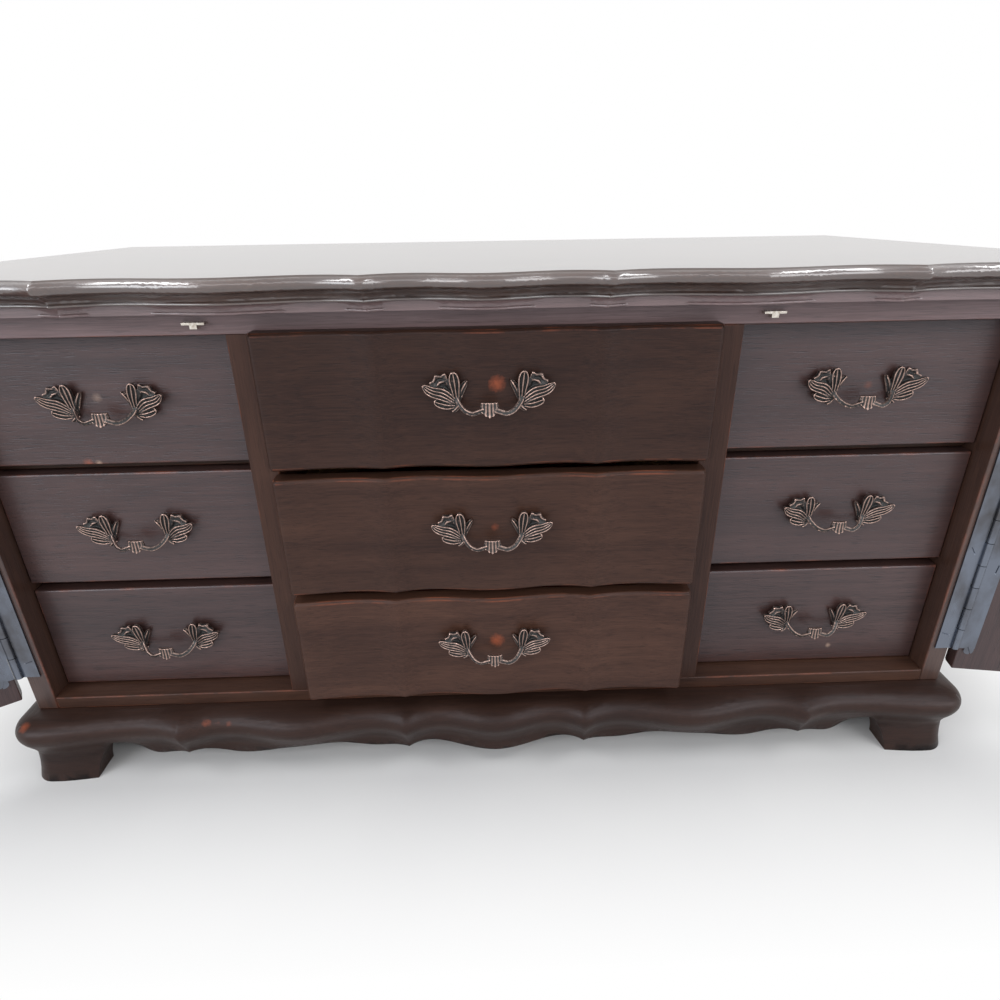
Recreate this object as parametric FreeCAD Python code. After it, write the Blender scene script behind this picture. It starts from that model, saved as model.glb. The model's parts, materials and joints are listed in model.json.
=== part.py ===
import FreeCAD, Part
import math
import os

# Jewelry chest with nine drawers and two side doors, in millimetres.
# X runs to the viewer's right, Y to the back, Z up. The origin is on the table,
# midway between the case's sides and midway between its face and its back.

V = FreeCAD.Vector
X_AXIS = V(1, 0, 0)
Y_AXIS = V(0, 1, 0)
Z_AXIS = V(0, 0, 1)

# Case
case_width = 420.0
case_depth = 200.0
side_thickness = 9.0
partition_thickness = 11.0
partition_outer_x = 93.4
back_thickness = 5.0
floor_top = 39.0
floor_thickness = 6.0
rail_bottom = 200.0
rail_thickness = 9.0
top_moulding_bottom = 208.3
top_board_bottom = 211.9
total_height = 221.0

# Wave of the front in plan: distances from the centre line
ridge_inner_x = 40.5
ridge_outer_x = 141.5
valley_stations = (22.0, 56.0, 123.0, 158.0)
side_bulge_x = 90.0
ridge_share = 0.8
corner_rise_x = 186.0
corner_rise_share = -0.2
corner_share = 0.4

# How far each front stands out of the case's face, and how deep its wave is
top_reach = 19.6
top_wave = 2.5
top_side_reach = 11.0
moulding_reach = 13.0
moulding_side_reach = 7.0
base_reach = 9.0
base_wave = 2.4
base_side_reach = 4.5
front_reach = 8.2
front_wave = 1.0
top_corner_radius = 9.0
top_nose = 2.4
top_nose_height = 4.8
top_lip = 0.6
# Beads and coves under the nose: how far in each bead stands, its size, and the coves' depth
bead_height = 1.1
bead_bulge = 0.6
top_bead_in = 5.2
moulding_bead_in = 3.2
cove_depth = 0.65
moulding_corner_radius = 5.0
base_corner_radius = 8.0

# Base
base_height = floor_top - floor_thickness
base_board_thickness = 12.0
# Ogee of the base board from its foot up, as distance out and height
base_foot = (1.6, 0.0)
base_hollow = (0.2, 6.0)
base_neck = (-0.7, 14.0)
base_ogee = ((1.2, 19.0), (4.0, 24.0), (4.5, 27.0), (3.2, 30.2), (-1.0, 32.4))
base_top_in = 6.0
base_back_height = 12.5
foot_outer_length = 28.2
foot_notch_z = 19.4
foot_notch_x = 176.5
foot_knee_out = 6.2
foot_knee_share = 0.6
apron_stations = (0.0, 20.0, 38.0, 57.0, 74.0, 98.0, 121.0, 142.0, 160.0, 169.0)
apron_heights = (10.0, 10.6, 13.2, 10.6, 15.2, 14.4, 9.6, 13.8, 11.0, 17.4)
side_apron_height = 12.5
side_foot_length = 34.0
side_apron_rise = 8.0
side_apron_curve = 0.3
cutter_length = 60.0

# Drawers
rows = ("top", "middle", "bottom")
side_front_height = 50.6
side_front_gap = 3.8
side_front_bottom = floor_top + 0.6
side_recess = 9.5
side_front_thickness = 9.0
centre_front_half_width = 83.5
centre_front_height = 51.2
centre_front_gap = 3.9
centre_front_bottom = floor_top + 1.0
centre_front_back_gap = 0.4
shelf_thickness = 3.0
shelf_set_back = 6.0
running_gap = 0.5
side_box_in = 0.5
side_front_chamfer = 0.5
wavy_front_chamfer = 1.0
wavy_front_inward = 5.0
box_side = 5.0
box_back = 4.0
box_bottom = 3.0
box_height = 38.0
box_rear_gap = 0.5
lining_thickness = 2.0
lining_gap = 0.4

# Doors, drawn closed and then swung to their open angles
door_inner_x = 86.2
door_outer_x = 209.6
door_bottom = floor_top + 0.8
door_top = 206.8
door_back_gap = 1.7
door_open_left = 146.0
door_open_right = 170.0

# Piano hinges
hinge_bottom = 52.0
hinge_top = 195.0
hinge_axis_x = case_width / 2 + 1.9
hinge_axis_gap = door_back_gap / 2
leaf_thickness = 0.7
leaf_edge_x = 203.2
knuckle_radius = 1.7
knuckle_count = 13
knuckle_gap = 0.3
knuckle_room = 0.35
pin_radius = 0.8
pin_clearance = 0.05
screw_head_radius = 2.1
screw_head_depth = 1.2
screw_shank_radius = 1.0
screw_length = 10.0
screw_slot_width = 0.5
screw_slot_depth = 0.4
case_screw_x = 206.0
door_screw_x = 205.4
screw_heights = (60.0, 103.0, 146.0, 189.0)
door_screw_shift = -9.0
door_screw_length = 5.0
case_slot_angles = (20.0, 57.0, 94.0, 131.0)
door_slot_angles = (65.0, 96.0, 127.0, 158.0)

# Door catches: a T-shaped brass strike on the rail, and a notch in the door
catch_x = 103.0
catch_z = 203.8
catch_bar = (8.0, 0.9)
catch_stem = (2.6, 1.4)
catch_reach = 2.6
catch_shank = 5.0
catch_nail_radius = 0.8
catch_nail_drop = 0.2
notch_margin = 0.8
notch_depth = 2.0

# Pulls
pull_reach = 7.6
pull_bail_radius = 0.9
pull_boss_x = 12.6
pull_boss_z = -2.6
pull_boss_radius = 2.5
pull_boss_rise = 0.2
# Right half of the bail's line: x, height off the wood, z
pull_bail_line = (
    (13.0, 0.3, -2.4),
    (11.6, 4.0, -3.2),
    (8.6, 7.0, -7.2),
    (4.4, 6.8, -6.8),
    (0.0, 6.7, -4.9),
)
pull_shell_half_width = 3.8
pull_shell_top = -2.3
pull_shell_bottom = -7.6
pull_shell_thickness = 1.8
pull_shell_rib_radius = 0.55
pull_shell_rib_in = 0.2
pull_shell_top_share = 0.72
pull_shell_rim = 3.0
pull_leaf_thickness = 2.6
pull_leaf_half = 3.4
pull_leaf_wide = 0.62
pull_screw_bite = 1.2
pull_screw_radius = 1.4
pull_screw_head_radius = 3.0
pull_screw_head_height = 1.8
centre_pull_share = 0.57
side_pull_share = 0.5
door_pull_x = 118.0
# Leaves of one spray: root x, root z, length, half width, angle from +X in degrees
pull_leaves = (
    (11.6, -3.2, 11.4, 1.9, 85.0),
    (12.6, -2.6, 11.9, 3.4, 58.0),
    (12.6, -3.0, 9.0, 2.0, 24.0),
    (18.6, 0.2, 6.8, 1.3, 36.0),
    (12.4, -4.4, 7.7, 1.6, 13.0),
    (11.2, -3.0, 8.2, 1.2, 114.0),
    (10.8, -4.2, 4.0, 1.1, -44.0),
)

# Places worked out from the above
face_y = -case_depth / 2
back_y = case_depth / 2
half_width = case_width / 2
inner_x = half_width - side_thickness
partition_inner_x = partition_outer_x - partition_thickness
door_back_y = face_y - door_back_gap
hinge_axis_y = face_y - hinge_axis_gap
box_end_y = back_y - back_thickness - box_rear_gap
side_front_y = face_y + side_recess
side_box_y = side_front_y + side_front_thickness
centre_box_y = face_y - centre_front_back_gap
side_pitch = side_front_height + side_front_gap
centre_pitch = centre_front_height + centre_front_gap


def block(x0, x1, y0, y1, z0, z1):
    """A box between two corners."""
    return Part.makeBox(x1 - x0, y1 - y0, z1 - z0, V(x0, y0, z0))


def line(a, b):
    return Part.LineSegment(a, b).toShape()


def arc(a, middle, b):
    return Part.Arc(a, middle, b).toShape()


def smooth(points):
    """A spline edge through the points."""
    curve = Part.BSplineCurve()
    curve.interpolate(points)
    return curve.toShape()


def mirrored(shape):
    """The same shape on the other side of the centre line."""
    return shape.mirror(V(0, 0, 0), X_AXIS)


def joined(shapes):
    """One clean solid from overlapping ones."""
    whole = shapes[0].fuse(shapes[1:])
    return whole.removeSplitter()


def wave_edges(reach, depth, end_x):
    """The front's wavy plan line from -end_x to end_x, one spline from ridge to ridge."""
    def point(x, share):
        return V(x, face_y - reach - depth * share, 0)

    middle = smooth([
        point(-ridge_inner_x, ridge_share),
        point(-valley_stations[0], -1),
        point(0, 1),
        point(valley_stations[0], -1),
        point(ridge_inner_x, ridge_share),
    ])
    wing = [
        point(ridge_inner_x, ridge_share),
        point(valley_stations[1], -1),
        point(side_bulge_x, 1),
        point(valley_stations[2], -1),
        point(ridge_outer_x, ridge_share),
    ]
    corner = [
        point(ridge_outer_x, ridge_share),
        point(valley_stations[3], -1),
        point(corner_rise_x, corner_rise_share),
        point(end_x, corner_share),
    ]
    edges = [middle]
    for points in (wing, corner):
        edges.append(smooth(points))
        edges.append(smooth([V(-p.x, p.y, p.z) for p in reversed(points)]))
    return edges


def swept(section, edge):
    """The section carried along the edge without turning. It is drawn about the origin."""
    start = edge.valueAt(edge.FirstParameter)
    placed = section.copy()
    placed.translate(start)
    sweep = Part.BRepOffsetAPI.MakePipeShell(Part.Wire([edge]))
    sweep.setTrihedronMode(V(0, 0, 0), Z_AXIS)
    sweep.add(placed, False, False)
    sweep.build()
    sweep.makeSolid()
    return sweep.shape()


def section_wire(outline, inward):
    """A closed YZ section: the outline's edges in front, and a straight back edge."""
    first = outline[0].Vertexes[0].Point
    last = outline[-1].Vertexes[-1].Point
    back = [
        line(last, V(0, inward, last.z)),
        line(V(0, inward, last.z), V(0, inward, first.z)),
        line(V(0, inward, first.z), first),
    ]
    return Part.Wire(outline + back)


def moulded_board(outline, reach, depth, side_reach, radius, z0, z1):
    """A board with the outline on its wavy front, round its two front corners and on its sides."""
    inward = radius + 2 * depth
    corner_x = half_width + side_reach - radius
    corner_y = face_y - reach - depth * corner_share + radius
    bars = [swept(section_wire(outline, inward), e) for e in wave_edges(reach, depth, corner_x)]
    pie = section_wire(outline, radius)
    pie.translate(V(corner_x, corner_y - radius, 0))
    corner = Part.Face(pie).revolve(V(corner_x, corner_y, 0), Z_AXIS, 90)
    side = section_wire(outline, radius)
    side.rotate(V(0, 0, 0), Z_AXIS, 90)
    side.translate(V(corner_x + radius, corner_y, 0))
    flank = Part.Face(side).extrude(V(0, back_y - corner_y, 0))
    core = block(-corner_x, corner_x, corner_y, back_y, z0, z1)
    return joined([core] + bars + [corner, flank, mirrored(corner), mirrored(flank)])


def at(y, z):
    """A point of a section, y being negative outwards."""
    return V(0, y, z)


def bead_and_cove(bead_in, z0, z1):
    """Section outline from the bottom up: a small bead, then a cove that runs out to z1."""
    bead_top = z0 + bead_height
    bead = arc(at(bead_in, z0), at(bead_in - bead_bulge, (z0 + bead_top) / 2), at(bead_in, bead_top))
    run = V(0, -bead_in, z1 - bead_top)
    across = V(0, run.z, -run.y).normalize()
    middle = at(bead_in, bead_top) + run * 0.5 + across * cove_depth
    return [bead, arc(at(bead_in, bead_top), middle, at(0, z1))]


def bullnose(z0, z1, bulge, lip):
    """Section outline from the bottom up: a round nose with a small lip above."""
    middle = (z0 + z1 - lip) / 2
    return [
        arc(at(0, z0), at(-bulge, middle), at(0, z1 - lip)),
        line(at(0, z1 - lip), at(lip, z1)),
    ]


def top_board():
    nose_bottom = total_height - top_nose_height
    outline = bead_and_cove(top_bead_in, top_board_bottom, nose_bottom)
    outline += bullnose(nose_bottom, total_height, top_nose, top_lip)
    return moulded_board(outline, top_reach, top_wave, top_side_reach - top_nose,
                         top_corner_radius, top_board_bottom, total_height)


def top_moulding():
    """The cove strip that runs under the top, round the front and both sides."""
    z0 = top_moulding_bottom
    z1 = top_board_bottom
    outline = bead_and_cove(moulding_bead_in, z0, z1)
    board = moulded_board(outline, moulding_reach, top_wave, moulding_side_reach,
                          moulding_corner_radius, z0, z1)
    inside = block(-half_width, half_width, face_y, back_y + 1, z0 - 1, z1 + 1)
    return board.cut(inside)


def base_outline():
    """Ogee of the base board, from its lowest edge up to its top."""
    foot, hollow, neck = [at(-out, z) for out, z in (base_foot, base_hollow, base_neck)]
    ogee = [at(-out, z) for out, z in base_ogee]
    return [arc(foot, hollow, neck), smooth([neck] + ogee + [at(base_top_in, base_height)])]


def base_ring():
    """All of the base board's moulded outside, before its four boards are parted."""
    whole = moulded_board(base_outline(), base_reach, base_wave, base_side_reach,
                          base_corner_radius, 0, base_height)
    hollow_x = half_width + base_side_reach - base_board_thickness
    hollow_front = face_y - base_reach + base_board_thickness
    hollow = block(-hollow_x, hollow_x, hollow_front, back_y + 1, -1, base_height + 1)
    return whole.cut(hollow)


def apron_cut():
    """The space under the scroll-cut front apron, between the two front feet."""
    half = [V(x, 0, z) for x, z in zip(apron_stations, apron_heights)]
    foot_x = half_width + base_side_reach - foot_outer_length
    notch = V(foot_notch_x, 0, foot_notch_z)
    knee = V(foot_notch_x + foot_knee_out, 0, foot_notch_z * foot_knee_share)
    toe = V(foot_x, 0, -1)
    right = half + [notch]
    left = [V(-p.x, 0, p.z) for p in reversed(right)]
    edges = [
        smooth(left[:-1] + right),
        arc(notch, knee, toe),
        line(toe, V(-toe.x, 0, toe.z)),
        arc(V(-toe.x, 0, toe.z), V(-knee.x, 0, knee.z), V(-notch.x, 0, notch.z)),
    ]
    face = Part.Face(Part.Wire(edges))
    face.translate(V(0, face_y - cutter_length / 2, 0))
    return face.extrude(V(0, cutter_length, 0))


def side_cut():
    """The space under the side aprons, between the front and back feet."""
    y0 = face_y - base_reach + side_foot_length
    y1 = back_y - side_foot_length
    rise = side_apron_rise
    near = rise * side_apron_curve
    z = side_apron_height
    points = [V(0, y0, -1), V(0, y0, z - rise), V(0, y0 + rise, z), V(0, y1 - rise, z),
              V(0, y1, z - rise), V(0, y1, -1)]
    edges = [
        line(points[0], points[1]),
        arc(points[1], V(0, y0 + near, z - near), points[2]),
        line(points[2], points[3]),
        arc(points[3], V(0, y1 - near, z - near), points[4]),
        line(points[4], points[5]),
        line(points[5], points[0]),
    ]
    face = Part.Face(Part.Wire(edges))
    face.translate(V(-half_width - cutter_length, 0, 0))
    return face.extrude(V(2 * (half_width + cutter_length), 0, 0))


def mitre_wedge():
    """The part of the plan that belongs to the front board, up to the mitred corners."""
    corner_x = half_width + base_side_reach - base_board_thickness
    corner_y = face_y - base_reach + base_board_thickness
    out = cutter_length
    points = [V(-corner_x, corner_y, -1), V(-corner_x - out, corner_y - out, -1),
              V(corner_x + out, corner_y - out, -1), V(corner_x, corner_y, -1)]
    wire = Part.makePolygon(points + [points[0]])
    return Part.Face(wire).extrude(V(0, 0, base_height + 2))


def base_boards():
    ring = base_ring()
    wedge = mitre_wedge()
    front = ring.common(wedge).cut(apron_cut())
    sides = ring.cut(wedge).cut(side_cut())
    hollow_x = half_width + base_side_reach - base_board_thickness
    back = block(-hollow_x, hollow_x, back_y - base_board_thickness, back_y,
                 base_back_height, base_height)
    return front, sides, back


def wavy_panel(x0, x1, y_back, z0, z1, soft):
    """A flat-backed panel whose front follows the wave, with softened long edges."""
    inward = wavy_front_inward
    outline = [
        line(at(soft, z0), at(0, z0 + soft)),
        line(at(0, z0 + soft), at(0, z1 - soft)),
        line(at(0, z1 - soft), at(soft, z1)),
    ]
    bars = [swept(section_wire(outline, inward), e)
            for e in wave_edges(front_reach, front_wave, half_width + 2)]
    core = block(-half_width, half_width, face_y - front_reach + inward / 2, y_back + 1, z0, z1)
    whole = joined(bars + [core])
    return whole.common(block(x0, x1, face_y - cutter_length, y_back, z0 - 1, z1 + 1))


def screw_solid(head_y, x, z, length, slot_angle):
    """A slotted countersunk screw whose head is flush at head_y and which points to +Y."""
    head = Part.makeCone(screw_head_radius, screw_shank_radius, screw_head_depth,
                         V(x, head_y, z), Y_AXIS)
    shank = Part.makeCylinder(screw_shank_radius, length, V(x, head_y, z), Y_AXIS)
    slot = block(-screw_head_radius - 1, screw_head_radius + 1, -1, screw_slot_depth,
                 -screw_slot_width / 2, screw_slot_width / 2)
    slot.rotate(V(0, 0, 0), Y_AXIS, slot_angle)
    slot.translate(V(x, head_y, z))
    return head.fuse(shank).removeSplitter().cut(slot)


def screw_hole(head_y, x, z, length):
    """The same screw without its slot, to be cut from what it holds."""
    head = Part.makeCone(screw_head_radius, screw_shank_radius, screw_head_depth,
                         V(x, head_y, z), Y_AXIS)
    shank = Part.makeCylinder(screw_shank_radius, length, V(x, head_y, z), Y_AXIS)
    return head.fuse(shank)


def knuckle(index):
    """One of the tubes round the hinge pin, counted from the bottom."""
    pitch = (hinge_top - hinge_bottom) / knuckle_count
    z0 = hinge_bottom + index * pitch + knuckle_gap / 2
    return Part.makeCylinder(knuckle_radius, pitch - knuckle_gap,
                             V(hinge_axis_x, hinge_axis_y, z0), Z_AXIS)


def knuckle_space(index):
    """Room round another leaf's tube."""
    pitch = (hinge_top - hinge_bottom) / knuckle_count
    z0 = hinge_bottom + index * pitch - knuckle_gap / 2
    reach = knuckle_radius + knuckle_room
    return block(hinge_axis_x - reach, hinge_axis_x + reach, hinge_axis_y - reach,
                 hinge_axis_y + reach, z0, z0 + pitch + knuckle_gap)


def hinge_leaf(y0, own, other):
    """A leaf with its tubes, bored for the pin. It is drawn on the right, doors closed."""
    shape = block(leaf_edge_x, hinge_axis_x, y0, y0 + leaf_thickness, hinge_bottom, hinge_top)
    for index in other:
        shape = shape.cut(knuckle_space(index))
    shape = shape.fuse([knuckle(index) for index in own])
    bore = Part.makeCylinder(pin_radius + pin_clearance, hinge_top - hinge_bottom + 2,
                             V(hinge_axis_x, hinge_axis_y, hinge_bottom - 1), Z_AXIS)
    return shape.cut(bore).removeSplitter()


def case_hinge():
    """The case's leaf with its screws and the pin, and the room that the screws need."""
    y0 = face_y - leaf_thickness
    leaf = hinge_leaf(y0, range(0, knuckle_count, 2), range(1, knuckle_count, 2))
    holes = [screw_hole(y0, case_screw_x, z, screw_length) for z in screw_heights]
    screws = [screw_solid(y0, case_screw_x, z, screw_length, angle)
              for z, angle in zip(screw_heights, case_slot_angles)]
    leaf = leaf.cut(holes)
    pin = Part.makeCylinder(pin_radius, hinge_top - hinge_bottom,
                            V(hinge_axis_x, hinge_axis_y, hinge_bottom), Z_AXIS)
    return [leaf, pin] + screws, holes


def door_hinge():
    """The door's leaf with its screws, doors closed, and the room that the screws need."""
    y0 = door_back_y
    leaf = hinge_leaf(y0, range(1, knuckle_count, 2), range(0, knuckle_count, 2))
    head_y = y0 + leaf_thickness
    heights = [z + door_screw_shift for z in screw_heights]
    screws = []
    holes = []
    for z, angle in zip(heights, door_slot_angles):
        screw = screw_solid(0, 0, 0, door_screw_length, angle)
        hole = screw_hole(0, 0, 0, door_screw_length)
        for shape in (screw, hole):
            shape.rotate(V(0, 0, 0), Z_AXIS, 180)
            shape.translate(V(door_screw_x, head_y, z))
        screws.append(screw)
        holes.append(hole)
    leaf = leaf.cut(holes)
    return [leaf] + screws, holes


def leaf_outline(length, half):
    """An almond outline along +X from its root."""
    tip = V(length, 0, 0)
    root = V(0, 0, 0)
    wide = length * pull_leaf_wide
    return Part.Wire([arc(root, V(wide, 0, half), tip), arc(tip, V(wide, 0, -half), root)])


def spray():
    """The leaves on the right end of a pull, on the plane Y=0 and standing to -Y."""
    parts = []
    for root_x, root_z, length, half, angle in pull_leaves:
        thick = pull_leaf_thickness * (0.7 + 0.3 * half / pull_leaf_half)
        leaf = Part.Face(leaf_outline(length, half)).extrude(V(0, -thick, 0))
        leaf.rotate(V(0, 0, 0), Y_AXIS, -angle)
        leaf.translate(V(root_x, 0, root_z))
        parts.append(leaf)
    parts.append(Part.makeCylinder(pull_boss_radius, pull_leaf_thickness + pull_boss_rise,
                                   V(pull_boss_x, 0, pull_boss_z), Y_AXIS * -1))
    return parts


def bail():
    """The swept handle between the two sprays."""
    r = pull_bail_radius
    half = [V(x, -out, z) for x, out, z in pull_bail_line]
    curve = Part.BSplineCurve()
    curve.buildFromPoles([V(-p.x, p.y, p.z) for p in half] + half[-2::-1], False, 3)
    path = curve.toShape()
    start = path.valueAt(path.FirstParameter)
    direction = path.tangentAt(path.FirstParameter)
    ring = Part.Wire([Part.makeCircle(r, start, direction).Edges[0]])
    return Part.Wire([path]).makePipeShell([ring], True, False)


def shell():
    """The ribbed scallop in the middle of the bail."""
    y0 = -pull_reach
    w = pull_shell_half_width
    top = pull_shell_top
    low = pull_shell_bottom
    neck = w * pull_shell_top_share
    rim = low + pull_shell_rim
    fan = Part.Wire([
        line(V(-neck, y0, top), V(neck, y0, top)),
        line(V(neck, y0, top), V(w, y0, rim)),
        arc(V(w, y0, rim), V(0, y0, low), V(-w, y0, rim)),
        line(V(-w, y0, rim), V(-neck, y0, top)),
    ])
    parts = [Part.Face(fan).extrude(V(0, pull_shell_thickness, 0))]
    for i in (-2, -1, 0, 1, 2):
        a = V(i * w * 0.33, y0 + pull_shell_rib_in, top)
        b = V(i * w * 0.4, y0 + pull_shell_rib_in, low + 0.9 + 0.2 * i * i)
        run = b.sub(a)
        parts.append(Part.makeCylinder(pull_shell_rib_radius, run.Length, a, run))
    return parts


def pull():
    """One cast pull about the origin of its mounting plane, bored for its screws."""
    right = spray()
    parts = right + [mirrored(p) for p in right] + [bail()] + shell()
    return joined(parts).cut(pull_screws(0)).Solids[0]


def pull_screws(depth):
    """Two machine screws from behind, through wood of the given depth into the bosses."""
    screws = []
    for x in (-pull_boss_x, pull_boss_x):
        shank = Part.makeCylinder(pull_screw_radius, depth + pull_screw_bite,
                                  V(x, -pull_screw_bite, pull_boss_z), Y_AXIS)
        head = Part.makeCylinder(pull_screw_head_radius, pull_screw_head_height,
                                 V(x, depth, pull_boss_z), Y_AXIS)
        screws.append(shank.fuse(head).removeSplitter())
    return screws


def placed_pull(x, y, z, depth):
    """A pull on a front's face at y, as [casting, screw, screw], and the screws."""
    group = [cast_pull.copy()] + pull_screws(depth)
    for shape in group:
        shape.translate(V(x, y, z))
    return group, group[1:]


def drawer_box(x0, x1, y0, z0):
    """Two sides, a back and a bottom, each a board of its own."""
    z1 = z0 + box_height
    y1 = box_end_y
    left = block(x0, x0 + box_side, y0, y1, z0, z1)
    right = block(x1 - box_side, x1, y0, y1, z0, z1)
    back = block(x0 + box_side, x1 - box_side, y1 - box_back, y1, z0, z1)
    bottom = block(x0 + box_side, x1 - box_side, y0, y1 - box_back, z0, z0 + box_bottom)
    return [left, right, back, bottom]


def drawer_lining(x0, x1, y0, z0):
    """The pad on the drawer's bottom."""
    gap = box_side + lining_gap
    low = z0 + box_bottom
    return block(x0 + gap, x1 - gap, y0 + lining_gap, box_end_y - box_back - lining_gap,
                 low, low + lining_thickness)


def side_drawer(sign, row):
    """A flat inset drawer of the left (-1) or right (+1) bay. Row 0 is the top one."""
    x0 = partition_outer_x + running_gap
    x1 = inner_x - running_gap
    z0 = side_front_bottom + (2 - row) * side_pitch
    front = block(x0, x1, side_front_y, side_box_y, z0, z0 + side_front_height)
    centre_x = (x0 + x1) / 2
    group, holes = placed_pull(centre_x, side_front_y, z0 + side_front_height * side_pull_share,
                               side_front_thickness)
    front = front.makeChamfer(side_front_chamfer, [e for e in front.Edges
                                    if abs(e.CenterOfMass.y - side_front_y) < 0.01])
    front = front.cut(holes)
    box = drawer_box(x0 + side_box_in, x1 - side_box_in, side_box_y, z0)
    pad = drawer_lining(x0 + side_box_in, x1 - side_box_in, side_box_y, z0)
    pieces = {"front": [front], "box": box, "lining": [pad], "pull": group}
    if sign < 0:
        pieces = {name: [mirrored(s) for s in shapes] for name, shapes in pieces.items()}
    return pieces


def front_point_y(x):
    """Where the wavy front surface lies at a distance from the centre line."""
    probe = line(V(x, face_y - cutter_length, 0), V(x, face_y, 0))
    found = [probe.distToShape(e) for e in wave_edges(front_reach, front_wave, half_width + 2)]
    return min(found, key=lambda hit: hit[0])[1][0][0].y


def centre_drawer(row):
    """A wide drawer whose front overlays the partitions and follows the wave."""
    z0 = centre_front_bottom + (2 - row) * centre_pitch
    half = centre_front_half_width
    front = wavy_panel(-half, half, centre_box_y, z0, z0 + centre_front_height,
                       wavy_front_chamfer)
    pull_y = front_point_y(pull_boss_x)
    group, holes = placed_pull(0, pull_y, z0 + centre_front_height * centre_pull_share,
                               centre_box_y - pull_y)
    group[0] = group[0].cut(front)
    front = front.cut(holes)
    z1 = floor_top if row == 2 else shelf_top("centre", row)
    x1 = partition_inner_x - running_gap
    box = drawer_box(-x1, x1, centre_box_y, z1 + running_gap)
    pad = drawer_lining(-x1, x1, centre_box_y, z1 + running_gap)
    return {"front": [front], "box": box, "lining": [pad], "pull": group}


def shelf_top(column, row):
    """Top of the shelf under a row, 0 being the top row."""
    if column == "centre":
        middle = centre_front_bottom + (2 - row) * centre_pitch - centre_front_gap / 2
    else:
        middle = side_front_bottom + (2 - row) * side_pitch - side_front_gap / 2
    return middle + shelf_thickness / 2


def shelves():
    """The six thin boards that the upper two rows of drawers slide on."""
    bays = (("centre", -partition_inner_x, partition_inner_x, face_y + shelf_set_back),
            ("left", -inner_x, -partition_outer_x, side_front_y + shelf_set_back),
            ("right", partition_outer_x, inner_x, side_front_y + shelf_set_back))
    boards = []
    for column, x0, x1, y0 in bays:
        for row in (0, 1):
            z1 = shelf_top(column, row)
            boards.append(block(x0, x1, y0, back_y - back_thickness, z1 - shelf_thickness, z1))
    return boards


def catch_solid(margin, reach):
    """The T of a door catch on the right half of the rail, grown by a margin."""
    bar_w, bar_h = catch_bar
    stem_w, stem_h = catch_stem
    y0 = face_y - reach
    bar = block(catch_x - bar_w / 2 - margin, catch_x + bar_w / 2 + margin, y0, face_y,
                catch_z - margin, catch_z + bar_h + margin)
    stem = block(catch_x - stem_w / 2 - margin, catch_x + stem_w / 2 + margin, y0, face_y,
                 catch_z - stem_h - margin, catch_z)
    return bar.fuse(stem).removeSplitter()


def catch_nail():
    return Part.makeCylinder(catch_nail_radius, catch_shank,
                             V(catch_x, face_y, catch_z - catch_nail_drop), Y_AXIS)


def door():
    """The right door closed, as its panel, its hinge leaf with screws, and its pull."""
    panel = wavy_panel(door_inner_x, door_outer_x, door_back_y, door_bottom, door_top,
                       wavy_front_chamfer)
    hinge, holes = door_hinge()
    reach = catch_solid(notch_margin, door_back_gap + notch_depth)
    panel = panel.cut(holes).cut(reach)
    pull_y = max(front_point_y(door_pull_x - pull_boss_x), front_point_y(door_pull_x + pull_boss_x))
    group, pull_holes = placed_pull(door_pull_x, pull_y, (door_bottom + door_top) / 2,
                                    door_back_y - pull_y - pull_screw_head_height)
    group[0] = group[0].cut(panel)
    panel = panel.cut(pull_holes)
    return {"panel": [panel], "hinge": hinge, "pull": group}


def swung(shapes, sign, angle):
    """Door pieces put on their side of the chest and opened by the angle."""
    placed = []
    for shape in shapes:
        piece = shape if sign > 0 else mirrored(shape)
        piece = piece.copy()
        piece.rotate(V(sign * hinge_axis_x, hinge_axis_y, 0), Z_AXIS, sign * angle)
        placed.append(piece)
    return placed


def case_nodes():
    """Everything that stands still, by node name."""
    hinge, screw_room = case_hinge()
    side = block(inner_x, half_width, face_y, back_y, base_height, top_board_bottom).cut(screw_room)
    rail = block(-inner_x, inner_x, face_y, face_y + rail_thickness, rail_bottom, top_board_bottom)
    nail = catch_nail()
    rail = rail.cut([nail, mirrored(nail)])
    strike = catch_solid(0, catch_reach).fuse(nail).removeSplitter()
    partition = joined([
        block(partition_inner_x, partition_outer_x, face_y, back_y - back_thickness,
              floor_top, rail_bottom),
        block(partition_inner_x, partition_outer_x, face_y + rail_thickness,
              back_y - back_thickness, floor_top, top_board_bottom),
    ])
    front, sides, base_back_board = base_boards()
    return {
        "top_board": [top_board()],
        "top_moulding": [top_moulding()],
        "top_rail": [rail],
        "side_panel_left": [mirrored(side)],
        "side_panel_right": [side],
        "partition_left": [mirrored(partition)],
        "partition_right": [partition],
        "drawer_shelves": shelves(),
        "back_panel": [block(-inner_x, inner_x, back_y - back_thickness, back_y,
                             floor_top, top_board_bottom)],
        "floor_board": [block(-inner_x, inner_x, face_y, back_y, base_height, floor_top)],
        "base_front": front.Solids,
        "base_sides": sides.Solids,
        "base_back": [base_back_board],
        "case_hinge_left": [mirrored(s) for s in hinge],
        "case_hinge_right": hinge,
        "catch_strikes": [strike, mirrored(strike)],
    }


def all_nodes():
    nodes = case_nodes()
    for row, row_name in enumerate(rows):
        for sign, column in ((-1, "left"), (0, "centre"), (1, "right")):
            pieces = side_drawer(sign, row) if sign else centre_drawer(row)
            for piece, shapes in pieces.items():
                nodes["drawer_" + piece + "_" + row_name + "_" + column] = shapes
    closed = door()
    for sign, side, angle in ((-1, "left", door_open_left), (1, "right", door_open_right)):
        for piece, shapes in closed.items():
            nodes["door_" + piece + "_" + side] = swung(shapes, sign, angle)
    return nodes


cast_pull = pull()
os.makedirs("parts", exist_ok=True)
for name, solids in all_nodes().items():
    whole = solids[0] if len(solids) == 1 else Part.makeCompound(solids)
    whole.exportStep("parts/" + name + ".step")
    print(name, len(whole.Solids), "solids, valid:", whole.isValid())
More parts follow.
